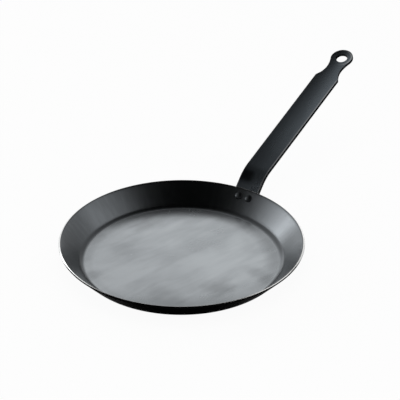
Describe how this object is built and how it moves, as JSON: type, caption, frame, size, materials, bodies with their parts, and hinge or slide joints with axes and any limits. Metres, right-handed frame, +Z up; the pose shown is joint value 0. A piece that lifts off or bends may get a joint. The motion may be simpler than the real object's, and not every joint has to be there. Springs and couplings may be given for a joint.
{
  "type": "crepe pan",
  "caption": "Shallow round steel crepe pan with a low flared wall and a long flat riveted strip handle that ends in a hanging eye.",
  "frame": {"origin": "middle of the flat underside of the dish, where the pan stands", "axes": "+Z up out of the dish, +X along the handle, seen from above, and +Y across it"},
  "size_m": [0.4382, 0.2398, 0.0987],
  "materials": {
    "pan_steel": "bare dark carbon steel, satin, with cloudy mill marks and bright worn rim",
    "handle_steel": "blued strip steel, satin, with slightly worn edges",
    "rivet_steel": "dark steel, formed heads with worn crowns"
  },
  "bodies": {
    "root": {"pan_body": "pan_steel", "handle": "handle_steel", "rivet_left": "rivet_steel", "rivet_right": "rivet_steel"}
  },
  "joints": []
}
